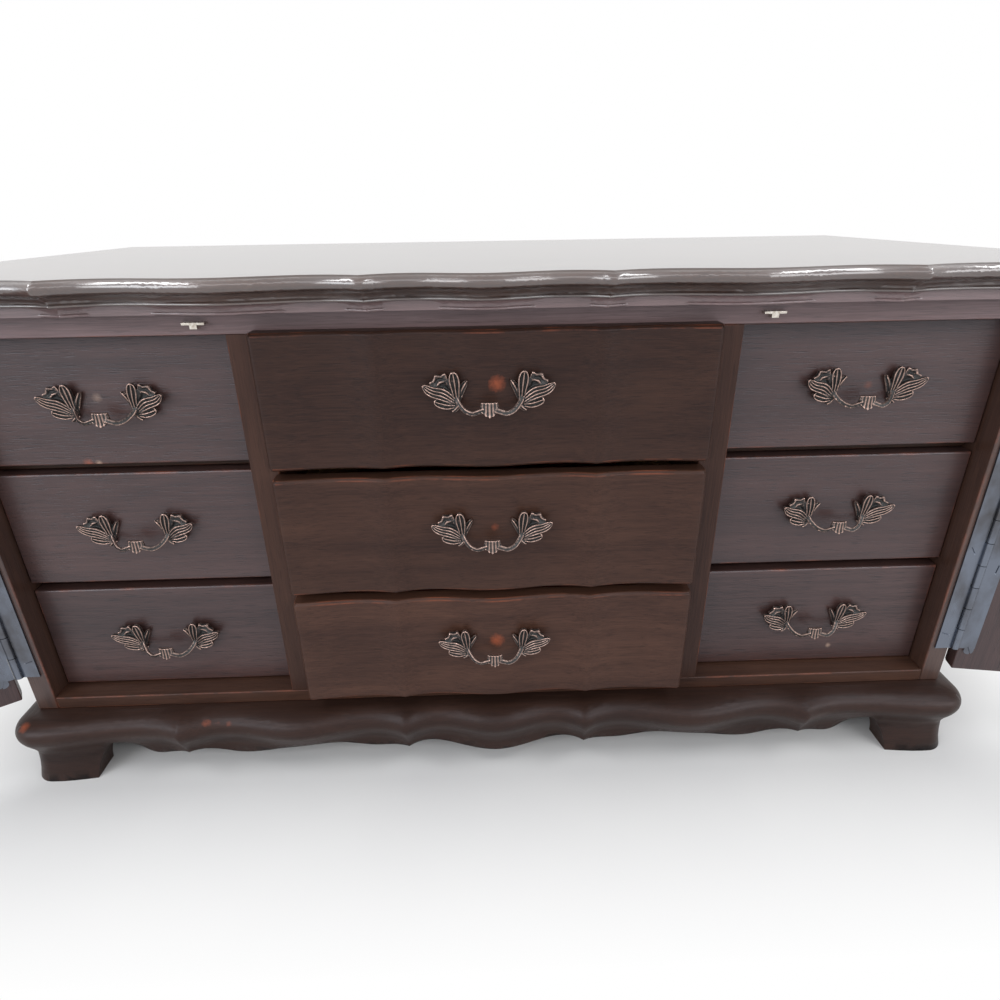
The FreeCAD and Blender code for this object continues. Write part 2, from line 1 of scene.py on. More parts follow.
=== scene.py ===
import json
import math

import bmesh
import bpy
import numpy as np
from mathutils import Matrix, Vector, noise


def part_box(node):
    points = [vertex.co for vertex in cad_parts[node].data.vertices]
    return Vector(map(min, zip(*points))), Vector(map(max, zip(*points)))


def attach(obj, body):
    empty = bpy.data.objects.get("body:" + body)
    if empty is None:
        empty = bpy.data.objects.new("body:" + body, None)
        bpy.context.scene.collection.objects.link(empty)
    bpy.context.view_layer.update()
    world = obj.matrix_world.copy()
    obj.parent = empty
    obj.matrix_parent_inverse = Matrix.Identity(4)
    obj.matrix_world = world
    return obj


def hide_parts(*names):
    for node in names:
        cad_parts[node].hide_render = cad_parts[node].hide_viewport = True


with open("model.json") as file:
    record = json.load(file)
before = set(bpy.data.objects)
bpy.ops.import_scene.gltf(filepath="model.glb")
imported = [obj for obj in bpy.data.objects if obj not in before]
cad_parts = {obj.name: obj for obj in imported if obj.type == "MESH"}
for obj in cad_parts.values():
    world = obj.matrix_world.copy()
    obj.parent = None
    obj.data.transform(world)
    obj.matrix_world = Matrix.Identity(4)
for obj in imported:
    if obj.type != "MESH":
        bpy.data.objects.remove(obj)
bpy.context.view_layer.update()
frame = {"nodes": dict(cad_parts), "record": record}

MM = 0.001
ROWS = ("top", "middle", "bottom")
COLUMNS = ("left", "centre", "right")
SIDES = ("left", "right")

RECORD = frame["record"]
BODY_OF = {node: body for body, nodes in RECORD["behaviour"]["bodies"].items() for node in nodes}


# Shading

class Shader:
    """A node material, built by calls that return output sockets."""

    def __init__(self, name):
        self.material = bpy.data.materials.new(name)
        self.material.use_nodes = True
        self.tree = self.material.node_tree
        self.surface = self.tree.nodes["Principled BSDF"]

    def node(self, kind, inputs=(), output=0, **settings):
        made = self.tree.nodes.new(kind)
        for key, value in settings.items():
            setattr(made, key, value)
        for key, value in dict(inputs).items():
            self.set(made.inputs[key], value)
        return made.outputs[output]

    def set(self, socket, value):
        if isinstance(value, bpy.types.NodeSocket):
            self.tree.links.new(value, socket)
        else:
            socket.default_value = value

    def put(self, **inputs):
        for key, value in inputs.items():
            self.set(self.surface.inputs[key.replace("_", " ")], value)

    def own(self):
        """The piece's own coordinates in metres."""
        return self.node("ShaderNodeTexCoord", output=3)

    def place(self, scale=(1, 1, 1), shift=(0, 0, 0)):
        """The piece's own coordinates, stretched."""
        return self.node("ShaderNodeMapping", {0: self.own(), 1: shift, 3: scale})

    def noise(self, place, detail=2.0, rough=0.5, distortion=0.0):
        return self.node("ShaderNodeTexNoise", {"Vector": place, "Scale": 1.0, "Detail": detail,
                                                "Roughness": rough, "Distortion": distortion})

    def remap(self, value, low, high, to_low=0.0, to_high=1.0):
        return self.node("ShaderNodeMapRange", {0: value, 1: low, 2: high, 3: to_low, 4: to_high})

    def mix(self, share, a, b):
        made = self.tree.nodes.new("ShaderNodeMix")
        made.data_type = "RGBA"
        self.set(made.inputs[0], share)
        self.set(made.inputs[6], a)
        self.set(made.inputs[7], b)
        return made.outputs[2]

    def math(self, operation, a, b=0.0):
        return self.node("ShaderNodeMath", {0: a, 1: b}, operation=operation)

    def near(self, point, radius, ragged):
        """One inside a radius around a point given in millimetres, with a ragged edge."""
        away = self.node("ShaderNodeVectorMath", {0: self.own(), 1: Vector(point) * MM},
                         output=1, operation="DISTANCE")
        away = self.math("ADD", away, self.math("MULTIPLY", ragged, radius * MM))
        return self.remap(away, 1.6 * radius * MM, 0.3 * radius * MM)

    def bump(self, height, distance, strength=1.0):
        return self.node("ShaderNodeBump", {"Height": height, "Distance": distance,
                                            "Strength": strength})


def colour(red, green, blue):
    """A colour given as it looks on screen, from 0 to 255, in linear light."""
    def linear(value):
        share = value / 255
        return share / 12.92 if share <= 0.04045 else ((share + 0.055) / 1.055) ** 2.4

    return (linear(red), linear(green), linear(blue), 1.0)


def scaled(tone, share):
    """A colour made darker or lighter."""
    return (tone[0] * share, tone[1] * share, tone[2] * share, 1.0)


def along_grain(axis, along, across):
    """Coordinate scales for streaks that run along an axis."""
    scale = [across] * 3
    scale["XYZ".index(axis)] = along
    return scale


def wood(name, axis, dark, light, seed, gloss, pores=0.5, rough=0.42, worn=0.0, marks=()):
    """Stained open-pored wood whose grain runs along an axis.

    Gloss is the lacquer's specular level, coat, coat roughness and index. Marks are
    (point, radius, colour, strength).
    """
    s = Shader(name)
    shift = (seed * 0.31, seed * 0.17, seed * 0.23)
    bands = s.noise(s.place(along_grain(axis, 5, 55), shift), 3, 0.55, 0.8)
    streaks = s.noise(s.place(along_grain(axis, 13, 420), shift), 5, 0.62, 0.3)
    fibres = s.noise(s.place(along_grain(axis, 55, 2100), shift), 2, 0.6)
    cloud = s.noise(s.place((14, 14, 14), shift), 3, 0.55)
    pore = s.remap(s.noise(s.place(along_grain(axis, 120, 2600), shift), 1, 0.4), 0.58, 0.70)
    ragged = s.noise(s.place((620, 620, 620), shift), 4, 0.7)
    tone = s.mix(s.remap(bands, 0.3, 0.7), dark, light)
    tone = s.mix(s.remap(streaks, 0.40, 0.72, 0, 0.5), tone, scaled(dark, 0.55))
    tone = s.mix(s.remap(fibres, 0.38, 0.72, 0, 0.3), tone, scaled(light, 1.5))
    tone = s.mix(s.remap(cloud, 0.35, 0.7, 0, 0.35), tone, scaled(dark, 0.7))
    tone = s.mix(s.math("MULTIPLY", pore, pores), tone, scaled(dark, 0.3))
    if worn:
        lengths = s.noise(s.place((70, 70, 70), shift), 4, 0.65)
        tone = s.mix(s.remap(lengths, 0.46, 0.66, 0, worn), tone, RUBBED)
    for point, radius, tint, strength in marks:
        spot = s.math("MULTIPLY", s.near(point, radius, ragged), strength)
        tone = s.mix(spot, tone, tint)
    s.put(Base_Color=tone)
    s.put(Roughness=s.remap(streaks, 0.3, 0.7, rough - 0.05, rough + 0.08))
    relief = s.math("SUBTRACT", s.math("MULTIPLY", streaks, 0.35), s.math("MULTIPLY", pore, pores))
    s.put(Normal=s.bump(relief, 0.00014, 0.6))
    specular, coat, coat_rough, index = gloss
    # the blue tint on reflections is painted, standing in for cool window light
    s.put(Specular_IOR_Level=specular, Specular_Tint=PAINTED_COOL_REFLECTION, Coat_Weight=coat,
          Coat_Roughness=coat_rough, Coat_IOR=index)
    return s.material


CASE = (colour(52, 34, 27), colour(78, 54, 43))
# Rail and moulding: a lighter tone, painted light that stands in for the light and sheen falling on
# them
RAIL_PAINTED_LIGHT = (colour(96, 74, 72), colour(130, 106, 106))
# Base: a darker tone, partly the wood's own and partly painted shade
BASE_PAINTED_SHADE = (colour(38, 25, 20), colour(56, 38, 31))
FRONT = (colour(52, 33, 26), colour(78, 53, 42))
SIDE = (colour(50, 33, 30), colour(77, 54, 50))
INNER = (colour(46, 32, 25), colour(74, 52, 40))
PLAIN = (colour(150, 112, 72), colour(196, 158, 112))
RUBBED = colour(122, 66, 44)
ORANGE = colour(158, 82, 54)
PALE = colour(190, 160, 140)
# A blue tint on the lacquer's reflections: painted reflection colour that stands in for cool window
# light
PAINTED_COOL_REFLECTION = (0.8, 0.88, 1.0, 1.0)


def finishes(name, axis, tones, seed, worn=0.55, **settings):
    """The wood of a board and the same wood rubbed along its arrises."""
    return [wood(name, axis, *tones, seed, **settings),
            wood(name + "_edge", axis, *tones, seed, worn=worn, **settings)]


def steel():
    s = Shader("hinge_steel")
    smear = s.noise(s.place((260, 260, 25)), 3, 0.6)
    tarnish = s.noise(s.place((60, 60, 40)), 4, 0.6)
    s.put(Base_Color=s.mix(s.remap(tarnish, 0.42, 0.7), colour(116, 122, 134), colour(88, 87, 90)))
    s.put(Metallic=1.0, Roughness=s.remap(smear, 0.3, 0.7, 0.25, 0.36))
    return s.material


def copper():
    """Antiqued copper: bright where it stands proud or fingers polish it, black in the hollows."""
    s = Shader("pull_copper")
    proud = s.node("ShaderNodeNewGeometry", output=7)
    grain = s.noise(s.place((1500, 1500, 1500)), 3, 0.6)
    level = s.math("ADD", proud, s.remap(grain, 0.3, 0.7, -0.015, 0.015))
    level = s.math("ADD", level, s.math("MULTIPLY", s.near((0, -7, -5), 3.6, grain), 0.035))
    bright = s.remap(level, 0.505, 0.575)
    hollow = s.mix(s.remap(grain, 0.4, 0.65), colour(22, 19, 20), colour(34, 38, 39))
    s.put(Base_Color=s.mix(bright, hollow, colour(208, 176, 164)))
    s.put(Metallic=s.remap(level, 0.49, 0.54))
    s.put(Roughness=s.remap(level, 0.48, 0.58, 0.55, 0.22))
    return s.material


def velvet():
    s = Shader("lining_velvet")
    pile = s.noise(s.place((1800, 1800, 1800)), 2, 0.6)
    brushed = s.noise(s.place((25, 60, 60)), 3, 0.6)
    tone = s.mix(s.remap(brushed, 0.35, 0.65), colour(98, 12, 24), colour(136, 22, 36))
    s.put(Base_Color=s.mix(s.remap(pile, 0.3, 0.7, 0, 0.4), tone, colour(66, 8, 16)))
    s.put(Roughness=0.95, Normal=s.bump(pile, 0.0003, 0.6))
    s.put(Sheen_Weight=0.6, Sheen_Roughness=0.4, Sheen_Tint=colour(235, 120, 130))
    return s.material


def brass():
    s = Shader("catch_brass")
    dull = s.noise(s.place((900, 900, 900)), 3, 0.6)
    s.put(Base_Color=s.mix(s.remap(dull, 0.4, 0.7), colour(222, 216, 208), colour(160, 148, 134)))
    s.put(Metallic=1.0, Roughness=s.remap(dull, 0.3, 0.7, 0.2, 0.36))
    return s.material


# Rounded boards

def object_from(name, bm, materials):
    """A smooth shaded object from a finished mesh."""
    data = bpy.data.meshes.new(name)
    bm.to_mesh(data)
    bm.free()
    data.shade_smooth()
    for material in materials:
        data.materials.append(material)
    made = bpy.data.objects.new(name, data)
    bpy.context.scene.collection.objects.link(made)
    return made


def stand_for(piece, node):
    """The piece rides with a CAD node's body and hides the node."""
    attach(piece, BODY_OF[node])
    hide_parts(node)


def softened(node, materials, width, change=None):
    """A piece of the node's shape with rounded arrises, whose faces take the second material."""
    bm = bmesh.new()
    bm.from_mesh(frame["nodes"][node].data)
    bmesh.ops.remove_doubles(bm, verts=bm.verts, dist=0.01 * MM)
    bmesh.ops.dissolve_limit(bm, angle_limit=math.radians(0.5), verts=bm.verts, edges=bm.edges)
    if change is not None:
        change(bm)
    arrises = [edge for edge in bm.edges
               if edge.is_manifold and edge.calc_face_angle() > math.radians(32)
               and edge.calc_length() > HOLE_EDGE * MM]
    second = len(materials) - 1
    if node not in MOULDED:
        bmesh.ops.bevel(bm, geom=arrises, offset=width * MM, offset_type="OFFSET", segments=3,
                        profile=0.5, affect="EDGES", clamp_overlap=False, material=second)
    piece = object_from(node + "_wood" if second else node + "_metal", bm, materials)
    piece.data.set_sharp_from_angle(angle=math.radians(38))
    weigh = piece.modifiers.new("flat_faces", "WEIGHTED_NORMAL")
    weigh.keep_sharp = True
    stand_for(piece, node)
    return piece


def dressed(node, material):
    """The node's own mesh in a material."""
    data = frame["nodes"][node].data
    data.materials.clear()
    data.materials.append(material)


def thinned(bm):
    """The back panel's rear face a little further in, so the pins' heads stay inside the case."""
    rear = max(vert.co.y for vert in bm.verts)
    for vert in bm.verts:
        if vert.co.y > rear - MM:
            vert.co.y -= PIN_ROOM * MM


def rounded_ends(bm):
    """The upright arrises at both ends of a wide front, rounded over."""
    reach = max(vert.co.x for vert in bm.verts)

    def ends(edge):
        return (all(abs(vert.co.x) > reach - 0.02 * MM for vert in edge.verts)
                and any(abs(face.normal.x) < 0.9 and face.normal.y < -0.4
                        for face in edge.link_faces))

    bm.normal_update()
    bmesh.ops.bevel(bm, geom=[edge for edge in bm.edges if ends(edge)], offset=END_RADIUS * MM,
                    offset_type="OFFSET", segments=5, profile=0.5, affect="EDGES",
                    clamp_overlap=False)


PIN_ROOM, HOLE_EDGE = 0.4, 0.6
POLISHED, GLOSSY = (0.5, 1.0, 0.17, 1.85), (0.6, 0.7, 0.16, 1.6)
SATIN, DULL = (0.55, 0.2, 0.2, 1.5), (0.2, 0.04, 0.3, 1.5)
BOARDS = (
    # top board and moulding rows: the moulding and rail take the lighter tone with painted light
    ("top_board", "X", CASE, POLISHED, 0.5), ("top_moulding", "X", RAIL_PAINTED_LIGHT, GLOSSY, 0.3),
    ("top_rail", "X", RAIL_PAINTED_LIGHT, SATIN, 0.4), ("side_panel_left", "Z", CASE, SATIN, 0.6),
    ("side_panel_right", "Z", CASE, SATIN, 0.6), ("partition_left", "Z", FRONT, DULL, 0.4),
    ("partition_right", "Z", FRONT, DULL, 0.4), ("floor_board", "X", CASE, DULL, 0.6),
    # base rows: darker tone, partly painted shade
    ("base_front", "X", BASE_PAINTED_SHADE, DULL, 0.4), ("base_sides", "Y", BASE_PAINTED_SHADE, DULL, 0.4),
    ("base_back", "X", CASE, DULL, 0.5), ("drawer_shelves", "X", INNER, DULL, 0.3),
)
MOULDED = ("top_board", "top_moulding", "base_front", "base_sides")
# Spots in millimetres: where fingers rubbed through, chips and dents
MARKS = {
    "drawer_front_top_centre": (((2.9, -108.5, 182.4), 3.2, ORANGE, 0.9),),
    "drawer_front_middle_centre": (((1.2, -108.5, 125.0), 1.8, ORANGE, 0.5),),
    "drawer_front_bottom_centre": (((1.1, -108.5, 70.6), 3.4, ORANGE, 0.9),),
    "drawer_front_top_left": (((-150.1, -90.5, 175.6), 2.0, PALE, 0.35),
                              ((-160.5, -90.5, 149.0), 2.2, ORANGE, 0.7),
                              ((-156.5, -90.5, 148.8), 1.6, PALE, 0.7)),
    "drawer_front_top_right": (((149.9, -90.5, 173.9), 1.8, RUBBED, 0.6),),
    "drawer_front_bottom_right": (((159.1, -90.5, 47.7), 1.4, PALE, 0.7),),
    "base_front": (((-130.3, -111, 32.0), 2.6, ORANGE, 0.9), ((-125.5, -111, 31.8), 2.0, ORANGE, 0.8),
                   ((-120.6, -111.5, 31.0), 2.2, ORANGE, 0.9), ((-210.8, -110, 31.5), 2.8, ORANGE, 0.8),
                   ((64.0, -111, 32.4), 1.8, ORANGE, 0.6)),
    "top_moulding": (((-151.2, -114, 210.5), 1.5, PALE, 0.7), ((-156.6, -114, 210.3), 1.2, PALE, 0.6),
                     ((150.4, -114, 209.0), 1.4, PALE, 0.5), ((163.3, -113, 208.6), 1.4, PALE, 0.5)),
}

for count, (node, axis, tones, gloss, width) in enumerate(BOARDS):
    both = finishes(node, axis, tones, count + 1.0, gloss=gloss, pores=0.3, marks=MARKS.get(node, ()))
    softened(node, both, width)
softened("back_panel", [wood("back_panel", "X", *INNER, 20.0, DULL, rough=0.6)] * 2, 0.3, thinned)

# Painted shade and light on the centre fronts, by row: the top row darker as in the overhang's shade,
# the bottom row lighter
ROW_PAINTED_SHADE = (0.68, 0.85, 1.1)
END_RADIUS = 1.8
drawer_wood = wood("drawer_wood", "Y", *PLAIN, 21.0, DULL, pores=0.4, rough=0.6)
for i, row in enumerate(ROWS):
    for j, column in enumerate(COLUMNS):
        front = "drawer_front_" + row + "_" + column
        tones, gloss, pores = (SIDE, SATIN, 0.6)
        # the centre fronts take the painted row shade
        if column == "centre":
            tones, gloss, pores = [scaled(tone, ROW_PAINTED_SHADE[i]) for tone in FRONT], DULL, 0.35
        softened(front, finishes(front, "X", tones, 30 + 7.0 * i + 3.0 * j, gloss=gloss, pores=pores,
                                 marks=MARKS.get(front, ())), 0.35,
                 rounded_ends if column == "centre" else None)
        dressed("drawer_box_" + row + "_" + column, drawer_wood)
hinge_steel = steel()
for seed, side in enumerate(SIDES):
    panel = "door_panel_" + side
    softened(panel, finishes(panel, "Z", SIDE, 60.0 + seed, gloss=SATIN, pores=0.4), 0.5)
    for node in ("case_hinge_" + side, "door_hinge_" + side):
        dressed(node, hinge_steel)
softened("catch_strikes", [brass()], 0.1)


# Mesh helpers

def through(points, count):
    """Points on a smooth line through the given ones (rows of numbers), evenly in parameter."""
    points = np.array(points, float)
    padded = np.vstack([2 * points[0] - points[1], points, 2 * points[-1] - points[-2]])
    places = np.linspace(0, len(points) - 1, count)
    index = np.minimum(places.astype(int), len(points) - 2)
    t = (places - index)[:, None]
    p0, p1, p2, p3 = (padded[index + k] for k in range(4))
    return 0.5 * (2 * p1 + (p2 - p0) * t + (2 * p0 - 5 * p1 + 4 * p2 - p3) * t ** 2
                  + (3 * p1 - p0 - 3 * p2 + p3) * t ** 3)


def closed_sheet(bm, front, back):
    """A closed shell from two grids of points that share their outline's order."""
    rows, columns = front.shape[:2]
    verts = [[[bm.verts.new(grid[i, j]) for j in range(columns)] for i in range(rows)]
             for grid in (front, back)]
    for i in range(rows - 1):
        for j in range(columns - 1):
            a, b = verts
            bm.faces.new((a[i][j], a[i][j + 1], a[i + 1][j + 1], a[i + 1][j]))
            bm.faces.new((b[i][j], b[i + 1][j], b[i + 1][j + 1], b[i][j + 1]))
    rim = ([(0, j) for j in range(columns)] + [(i, columns - 1) for i in range(1, rows)]
           + [(rows - 1, j) for j in range(columns - 2, -1, -1)]
           + [(i, 0) for i in range(rows - 2, 0, -1)])
    for (i, j), (k, m) in zip(rim, rim[1:] + rim[:1]):
        bm.faces.new((verts[0][i][j], verts[1][i][j], verts[1][k][m], verts[0][k][m]))
    bmesh.ops.recalc_face_normals(bm, faces=bm.faces)


def tube(bm, line, section):
    """A closed bar along a line of points. Each section point is (across, out)."""
    line = np.array(line)
    rings = []
    for i, place in enumerate(line):
        ahead = line[min(i + 1, len(line) - 1)] - line[max(i - 1, 0)]
        ahead /= np.linalg.norm(ahead)
        across = np.cross(ahead, (0, -1, 0))
        across /= np.linalg.norm(across)
        out = np.cross(across, ahead)
        rings.append([bm.verts.new(place + across * a + out * b) for a, b in section])
    count = len(section)
    for first, second in zip(rings, rings[1:]):
        for k in range(count):
            n = (k + 1) % count
            bm.faces.new((first[k], first[n], second[n], second[k]))
    bm.faces.new(rings[0][::-1])
    bm.faces.new(rings[-1])


# Cast pulls

# One spray, right-hand side, in millimetres from the pull's middle. Each leaf has its middle
# line as (x, z, height off the wood), its half widths from root to tip, the number of raised
# lines across it, its lobes and whether its tip is round.
LEAVES = (
    dict(line=((11.6, -3.2, 1.3), (12.0, 2.0, 2.3), (12.7, 8.0, 2.6)),
         half=(0.9, 1.3, 1.9, 1.9), lines=3, lobes=0),
    dict(line=((13.2, -1.8, 1.0), (16.4, 2.6, 1.8), (19.0, 7.0, 2.4)),
         half=(1.2, 2.2, 3.1, 3.4), lines=2, lobes=2),
    dict(line=((12.6, -3.0, 1.6), (16.4, -0.2, 2.6), (20.6, 1.2, 2.8), (23.5, 3.6, 3.4)),
         half=(1.3, 2.2, 1.9, 1.2), lines=4, lobes=0),
    dict(line=((12.4, -4.4, 1.4), (15.6, -4.0, 2.0), (19.8, -2.6, 2.2)),
         half=(0.9, 1.7, 1.6), lines=3, lobes=0),
    dict(line=((11.0, -2.4, 1.0), (9.8, 1.2, 1.5), (7.8, 4.6, 1.7)),
         half=(0.9, 1.2, 0.9), lines=1, lobes=0),
    dict(line=((11.0, -4.4, 1.4), (12.2, -5.6, 1.7), (13.6, -6.7, 1.6)),
         half=(0.9, 1.1, 0.9), lines=1, lobes=0),
)
BAIL = ((12.0, -1.6, 1.6), (10.9, -3.6, 3.0), (8.8, -5.6, 5.0), (6.2, -6.4, 6.2),
        (4.2, -5.8, 6.6), (2.0, -5.0, 6.6))
BAIL_SECTION = ((-0.95, 0.0), (-0.95, 0.5), (-0.6, 0.85), (-0.1, 0.55), (0.4, 0.5),
                (0.8, 0.3), (0.95, 0.0), (0.6, -0.5), (-0.6, -0.5))
RELIEF = 0.95
SHELL_TOP, SHELL_FOOT, SHELL_HALF, SHELL_BACK = -2.4, -7.6, 3.0, 5.6
BOSS_X, BOSS_Z, BOSS_RADIUS, BOSS_OUT = 12.7, -2.6, 2.4, 1.9
# From the lowest corner of the plain pull's box to the middle of its foot on the wood
PULL_REACH, PULL_DROP = 7.95, 7.74
CAST_GRAIN = 0.2


def ridge(place, centre, width):
    """Height share of a rounded ridge."""
    return max(0.0, 1 - ((place - centre) / width) ** 2)


def leaf(bm, line, half, lines, lobes, sign, long=30, wide=27):
    """One cast leaf as a closed shell: dished, with raised lines along it or round its lobes."""
    even = np.linspace(0, 1, long)
    steps = even
    middle = through(line, long)
    widths = through([(w,) for w in half], long)[:, 0]
    if not lobes:
        steps = np.sin(even * math.pi / 2)
        taper = np.clip((steps - 0.72) / 0.28, 0, 1)
        widths = np.interp(steps, even, widths) * np.sqrt(1 - taper ** 2 * 0.985)
        middle = np.array([np.interp(steps, even, middle[:, k]) for k in range(3)]).T
    front = np.zeros((long, wide, 3))
    back = np.zeros((long, wide, 3))
    for i, u in enumerate(steps):
        ahead = middle[min(i + 1, long - 1)] - middle[max(i - 1, 0)]
        ahead = ahead[:2] / np.linalg.norm(ahead[:2])
        for j, v in enumerate(np.linspace(-1, 1, wide)):
            x, z = middle[i, :2] + np.array((-ahead[1], ahead[0])) * widths[i] * v
            places = np.linspace(-0.84, 0.84, lines) if lines > 1 else (0.0,)
            rise = max(ridge(v, place, 0.42 / max(lines - 1, 1) + 0.08) for place in places)
            if lobes:
                pull_in = (0.5 - 0.5 * math.cos(lobes * math.pi * v)) * 0.8 + 1.4 * v * v
                x, z = (x, z) - ahead * pull_in * u ** 3
                rise = max(rise, ridge(u, 0.93, 0.1), ridge(u, 0.68, 0.07) * (abs(v) < 0.85))
            elif lines > 1:
                rise = max(rise, ridge(u, 0.97, 0.06))
            low = max(middle[i, 2] - 1.0 + 0.25 * v * v, 0.15)
            front[i, j] = (sign * x, -middle[i, 2] - RELIEF * rise, z)
            back[i, j] = (sign * x, -low, z)
    closed_sheet(bm, front, back)


def shell(bm, long=18, wide=41):
    """The ribbed scallop in the middle of the bail."""
    front = np.zeros((long, wide, 3))
    back = np.zeros((long, wide, 3))
    for i, u in enumerate(np.linspace(0, 1, long)):
        for j, v in enumerate(np.linspace(-1, 1, wide)):
            half = SHELL_HALF + 0.5 * u
            rib = 0.5 + 0.5 * math.cos(v * 5 * math.pi)
            z = SHELL_TOP + (SHELL_FOOT + 2.6 * abs(v) ** 1.6 - 0.2 * rib - SHELL_TOP) * u
            crown = 0.8 + 0.7 * (1 - v * v) + 0.55 * rib * (0.4 + 0.6 * u)
            lip = 0.3 * max(0, u - 0.8) / 0.2
            front[i, j] = (half * v, -SHELL_BACK - crown - lip, z)
            back[i, j] = (half * v, -SHELL_BACK, z)
    closed_sheet(bm, front, back)


def boss(bm, sign, count=24):
    """The round foot behind a spray, which takes the screw."""
    ring = [(BOSS_X + BOSS_RADIUS * math.cos(a), BOSS_Z + BOSS_RADIUS * math.sin(a))
            for a in np.linspace(0, 2 * math.pi, count, endpoint=False)]
    low, high = ([bm.verts.new((sign * x, -out, z)) for x, z in ring] for out in (0.0, BOSS_OUT))
    for k in range(count):
        n = (k + 1) % count
        bm.faces.new((low[k], low[n], high[n], high[k]))
    bm.faces.new(low[::-1])
    bm.faces.new(high)


def cast_pull():
    """The mesh that all pulls share: leaves, bail and shell melted into one casting."""
    bm = bmesh.new()
    for sign in (-1, 1):
        for each in LEAVES:
            leaf(bm, sign=sign, **each)
        tube(bm, [(sign * x, -out, z) for x, z, out in through(BAIL, 30)], BAIL_SECTION)
        boss(bm, sign)
    shell(bm)
    bmesh.ops.recalc_face_normals(bm, faces=bm.faces)
    rough = object_from("cast_pull_rough", bm, [])
    remesh = rough.modifiers.new("melt", "REMESH")
    remesh.mode = "VOXEL"
    remesh.voxel_size = CAST_GRAIN
    smooth = rough.modifiers.new("soften", "SMOOTH")
    smooth.factor = 0.5
    smooth.iterations = 2
    graph = bpy.context.evaluated_depsgraph_get()
    mesh = bpy.data.meshes.new_from_object(rough.evaluated_get(graph))
    mesh.name = "cast_pull"
    mesh.transform(Matrix.Scale(MM, 4))
    mesh.shade_smooth()
    mesh.materials.clear()
    mesh.materials.append(copper())
    bpy.data.objects.remove(rough)
    return mesh


def door_swing(side):
    """The turn that takes a closed door to its place at rest."""
    joint = next(j for j in RECORD["behaviour"]["joints"] if j["child"] == "door_" + side)
    pin = Vector(joint["pos_m"])
    turn = Matrix.Rotation(math.radians(-joint["range_deg"][0]), 4, Vector(joint["axis"]))
    return Matrix.Translation(pin) @ turn @ Matrix.Translation(-pin)


def hang_pull(mesh, node, swing=Matrix.Identity(4)):
    """A cast pull in the place of the node's plain one, turned with its door."""
    back = swing.inverted()
    points = [back @ vert.co for vert in frame["nodes"][node].data.vertices]
    low, high = ([pick(point[k] for point in points) for k in range(3)] for pick in (min, max))
    foot = Vector(((low[0] + high[0]) / 2, low[1] + PULL_REACH * MM, low[2] + PULL_DROP * MM))
    pull = bpy.data.objects.new(node + "_cast", mesh)
    bpy.context.scene.collection.objects.link(pull)
    pull.matrix_world = swing @ Matrix.Translation(foot)
    stand_for(pull, node)


pull_mesh = cast_pull()
for row in ROWS:
    for column in COLUMNS:
        hang_pull(pull_mesh, "drawer_pull_" + row + "_" + column)
for side in SIDES:
    hang_pull(pull_mesh, "door_pull_" + side, door_swing(side))


# Velvet pads in the drawers

def pad(node, cloth, long=72, wide=48):
    """A crowned pad with rolled edges, in the place of a plain lining."""
    low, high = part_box(node)
    top = np.zeros((long, wide, 3))
    for i, v in enumerate(np.linspace(-1, 1, long)):
        for j, u in enumerate(np.linspace(-1, 1, wide)):
            x = low.x + (high.x - low.x) * (0.5 + 0.5 * math.sin(u * math.pi / 2))
            y = low.y + (high.y - low.y) * (0.5 + 0.5 * math.sin(v * math.pi / 2))
            crown = (1 - u ** 6) ** 0.5 * (1 - v ** 8) ** 0.5
            dimple = noise.noise(Vector((x, y, low.z)) * 45) * PAD_DIMPLE
            high_z = PAD_RIM + (PAD_CROWN - PAD_RIM) * crown + dimple * crown
            top[i, j] = (x, y, low.z + high_z * MM)
    under = top.copy()
    under[:, :, 2] = low.z + 0.02 * MM
    bm = bmesh.new()
    closed_sheet(bm, top, under)
    piece = object_from(node + "_pad", bm, [cloth])
    stand_for(piece, node)


PAD_RIM, PAD_CROWN, PAD_DIMPLE = 0.5, 2.2, 0.25
velvet_cloth = velvet()
for row in ROWS:
    for column in COLUMNS:
        pad("drawer_lining_" + row + "_" + column, velvet_cloth)


# Pins that hold the back panel

def pins(material, step=48, edge=5.0, radius=1.1, sides=14):
    """Low domed heads in a row round the back panel."""
    low, high = (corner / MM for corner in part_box("back_panel"))
    face = high.y - PIN_ROOM
    across = np.linspace(low.x + edge, high.x - edge, round((high.x - low.x) / step) + 1)
    up = np.linspace(low.z + edge, high.z - edge, round((high.z - low.z) / step) + 1)
    spots = [(x, z) for x in across for z in (up[0], up[-1])]
    spots += [(x, z) for x in (across[0], across[-1]) for z in up[1:-1]]
    bm = bmesh.new()
    for x, z in spots:
        rings = []
        for share, out in ((1.0, -0.3), (1.0, 0.08), (0.75, 0.24), (0.4, 0.33)):
            rings.append([bm.verts.new(((x + radius * share * math.cos(a)) * MM, (face + out) * MM,
                                        (z + radius * share * math.sin(a)) * MM))
                          for a in np.linspace(0, 2 * math.pi, sides, endpoint=False)])
        for first, second in zip(rings, rings[1:]):
            for k in range(sides):
                n = (k + 1) % sides
                bm.faces.new((first[k], first[n], second[n], second[k]))
        bm.faces.new(rings[0])
        bm.faces.new(rings[-1])
    bmesh.ops.recalc_face_normals(bm, faces=bm.faces)
    piece = object_from("back_pins", bm, [material])
    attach(piece, "case")


pins(hinge_steel)


# Stage, light and camera

